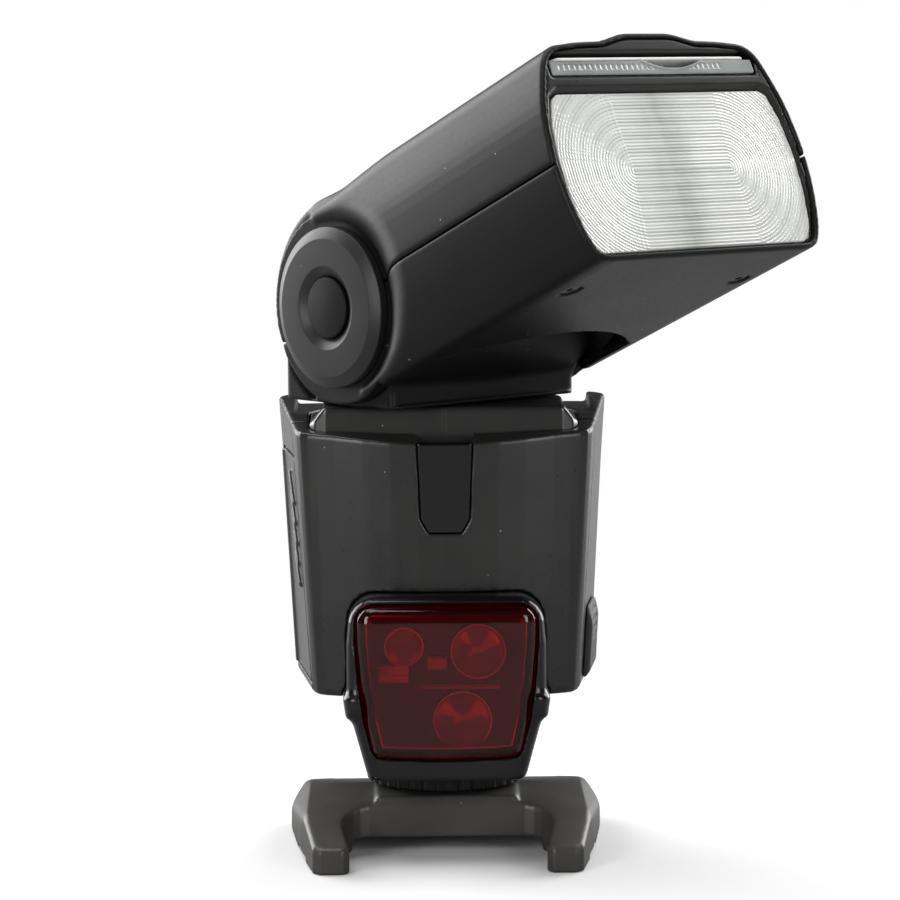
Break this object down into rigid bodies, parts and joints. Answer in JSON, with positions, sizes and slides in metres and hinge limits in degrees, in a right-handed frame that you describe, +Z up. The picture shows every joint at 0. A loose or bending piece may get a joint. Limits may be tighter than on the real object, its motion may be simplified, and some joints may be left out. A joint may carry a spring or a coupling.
{
  "type": "camera flash unit",
  "caption": "Shoe-mount camera flash with a swivelling, tilting zoom head, red focus-assist window, rear controls and battery bay, standing on a small slide-on stand.",
  "frame": {"origin": "on the resting plane, under the axis that the head swings about", "axes": "+Z up, the front of the body faces -Y, +X towards the viewer's right when the front is looked at"},
  "size_m": [0.1197, 0.1249, 0.1837],
  "materials": {
    "stand_plastic": "moulded, fine grain",
    "brass_insert": "machined",
    "foot_metal": "brushed",
    "insulator": "moulded",
    "contact_gold": "plated",
    "body_plastic": "satin, fine spark grain",
    "gloss_black": "polished",
    "cap_plastic": "satin",
    "key_plastic": "satin",
    "flap_rubber": "matt",
    "red_window": "polished, see-through",
    "clear_plastic": "moulded ribs",
    "tube_glass": "clear",
    "white_card": "satin",
    "bright_metal": "polished",
    "lamp_orange": "see-through",
    "lcd_glass": "polished",
    "inner_plastic": "moulded",
    "circuit_board": "solder resist",
    "cell_sleeve": "printed sleeve, unmarked",
    "capacitor_sleeve": "sleeve, unmarked",
    "wound_part": "lacquered",
    "motor_case": "brushed"
  },
  "bodies": {
    "stand": {"stand_base": "stand_plastic", "tripod_nut": "brass_insert"},
    "housing": {"foot_plate": "foot_metal", "foot_insulator": "insulator", "contact_pins": "contact_gold", "mount_block": "body_plastic", "front_cover": "body_plastic", "rear_cover": "body_plastic", "top_deck": "gloss_black", "sensor_window": "gloss_black", "assist_housing": "body_plastic", "assist_window": "red_window", "assist_board": "circuit_board", "assist_lamps": "clear_plastic", "battery_box": "inner_plastic", "battery_cells": "cell_sleeve", "battery_contacts": "bright_metal", "door_hinge_pin": "foot_metal", "main_capacitor": "capacitor_sleeve", "main_board": "circuit_board", "transformer": "wound_part", "lcd_module": "lcd_glass", "lcd_window": "lcd_glass", "power_socket": "inner_plastic", "case_screws": "foot_metal"},
    "neck": {"neck": "body_plastic", "swivel_retainer": "foot_metal", "tilt_pins": "foot_metal"},
    "head": {"head_upper_shell": "body_plastic", "head_lower_shell": "body_plastic", "front_bezel": "gloss_black", "fresnel_lens": "clear_plastic", "hinge_cap_left": "cap_plastic", "hinge_cap_right": "cap_plastic", "zoom_motor": "motor_case", "guide_rods": "foot_metal", "head_screws": "foot_metal", "trigger_coil": "wound_part"},
    "lock_ring": {"lock_ring": "body_plastic"},
    "lock_pin": {"lock_pin": "foot_metal"},
    "battery_door": {"battery_door": "body_plastic"},
    "socket_cover": {"socket_cover": "flap_rubber"},
    "power_switch": {"power_switch": "key_plastic"},
    "slave_switch": {"slave_switch": "key_plastic"},
    "light_button": {"light_button": "key_plastic"},
    "mode_button": {"mode_button": "key_plastic"},
    "sync_button": {"sync_button": "key_plastic"},
    "zoom_button": {"zoom_button": "key_plastic"},
    "test_button": {"test_button": "lamp_orange"},
    "select_dial": {"select_dial": "key_plastic"},
    "set_button": {"set_button": "key_plastic"},
    "lock_button": {"lock_button": "gloss_black"},
    "wide_panel": {"wide_panel": "clear_plastic"},
    "catchlight_panel": {"catchlight_panel": "white_card"},
    "zoom_carriage": {"zoom_carriage": "inner_plastic", "reflector": "bright_metal", "flash_tube": "tube_glass"},
    "zoom_screw": {"zoom_screw": "foot_metal"}
  },
  "joints": [
    {"name": "shoe_slide", "type": "slide", "parent": "stand", "child": "housing", "axis": [0, 1, 0], "range_m": [0, 0.021]},
    {"name": "lock_ring_turn", "type": "hinge", "parent": "housing", "child": "lock_ring", "pos_m": [0, 0, 0.016], "axis": [0, 0, 1], "range_deg": [0, 60]},
    {"name": "lock_pin_drop", "type": "slide", "parent": "housing", "child": "lock_pin", "axis": [0, 0, -1], "range_m": [0, 0.002]},
    {"name": "battery_door_swing", "type": "hinge", "parent": "housing", "child": "battery_door", "pos_m": [-0.03424, 0.012, 0.064], "axis": [-0.052, 0, 0.9986], "range_deg": [-100, 0]},
    {"name": "socket_cover_fold", "type": "hinge", "parent": "housing", "child": "socket_cover", "pos_m": [0.0339, 0, 0.0378], "axis": [0.1386, 0.9903, 0], "range_deg": [0, 95]},
    {"name": "power_switch_slide", "type": "slide", "parent": "housing", "child": "power_switch", "axis": [1, 0, 0], "range_m": [0, 0.0036]},
    {"name": "slave_switch_slide", "type": "slide", "parent": "housing", "child": "slave_switch", "axis": [1, 0, 0], "range_m": [0, 0.0036]},
    {"name": "light_button_press", "type": "slide", "parent": "housing", "child": "light_button", "axis": [0, -0.9985, 0.0541], "range_m": [0, 0.0008], "stiffness_N_per_m": 400},
    {"name": "mode_button_press", "type": "slide", "parent": "housing", "child": "mode_button", "axis": [0, -0.9985, 0.0541], "range_m": [0, 0.0008], "stiffness_N_per_m": 400},
    {"name": "sync_button_press", "type": "slide", "parent": "housing", "child": "sync_button", "axis": [0, -0.9985, 0.0541], "range_m": [0, 0.0008], "stiffness_N_per_m": 400},
    {"name": "zoom_button_press", "type": "slide", "parent": "housing", "child": "zoom_button", "axis": [0, -0.9985, 0.0541], "range_m": [0, 0.0008], "stiffness_N_per_m": 400},
    {"name": "test_button_press", "type": "slide", "parent": "housing", "child": "test_button", "axis": [0, -0.9985, 0.0541], "range_m": [0, 0.0008], "stiffness_N_per_m": 400},
    {"name": "select_dial_turn", "type": "hinge", "parent": "housing", "child": "select_dial", "pos_m": [0.0125, 0.02281, 0.0475], "axis": [0, 0.9985, -0.0541], "continuous": true},
    {"name": "set_button_press", "type": "slide", "parent": "housing", "child": "set_button", "axis": [0, -0.9985, 0.0541], "range_m": [0, 0.0006], "stiffness_N_per_m": 400},
    {"name": "head_swivel", "type": "hinge", "parent": "housing", "child": "neck", "pos_m": [0, 0, 0.124], "axis": [0, 0, 1], "range_deg": [-220.3, 139.7]},
    {"name": "head_tilt", "type": "hinge", "parent": "neck", "child": "head", "pos_m": [0, 0, 0.124], "axis": [-0.7627, -0.6468, 0], "range_deg": [-30.6, 66.4]},
    {"name": "lock_button_press", "type": "slide", "parent": "head", "child": "lock_button", "axis": [0.7627, 0.6468, 0], "range_m": [0, 0.0014], "stiffness_N_per_m": 400},
    {"name": "wide_panel_pull", "type": "slide", "parent": "head", "child": "wide_panel", "axis": [0.5927, -0.6989, 0.4003], "range_m": [0, 0.036]},
    {"name": "catchlight_pull", "type": "slide", "parent": "head", "child": "catchlight_panel", "axis": [0.5927, -0.6989, 0.4003], "range_m": [0, 0.036]},
    {"name": "zoom_travel", "type": "slide", "parent": "head", "child": "zoom_carriage", "axis": [0.5927, -0.6989, 0.4003], "range_m": [-0.008, 0.009]},
    {"name": "zoom_screw_turn", "type": "hinge", "parent": "head", "child": "zoom_screw", "pos_m": [0.04699, -0.01521, 0.14529], "axis": [0.5927, -0.6989, 0.4003], "range_deg": [-480, 540]}
  ],
  "couplings": [
    {"joint": "lock_pin_drop", "follows": "lock_ring_turn", "m_per_rad": 0.0019099},
    {"joint": "zoom_screw_turn", "follows": "zoom_travel", "rad_per_m": 1047.2}
  ]
}
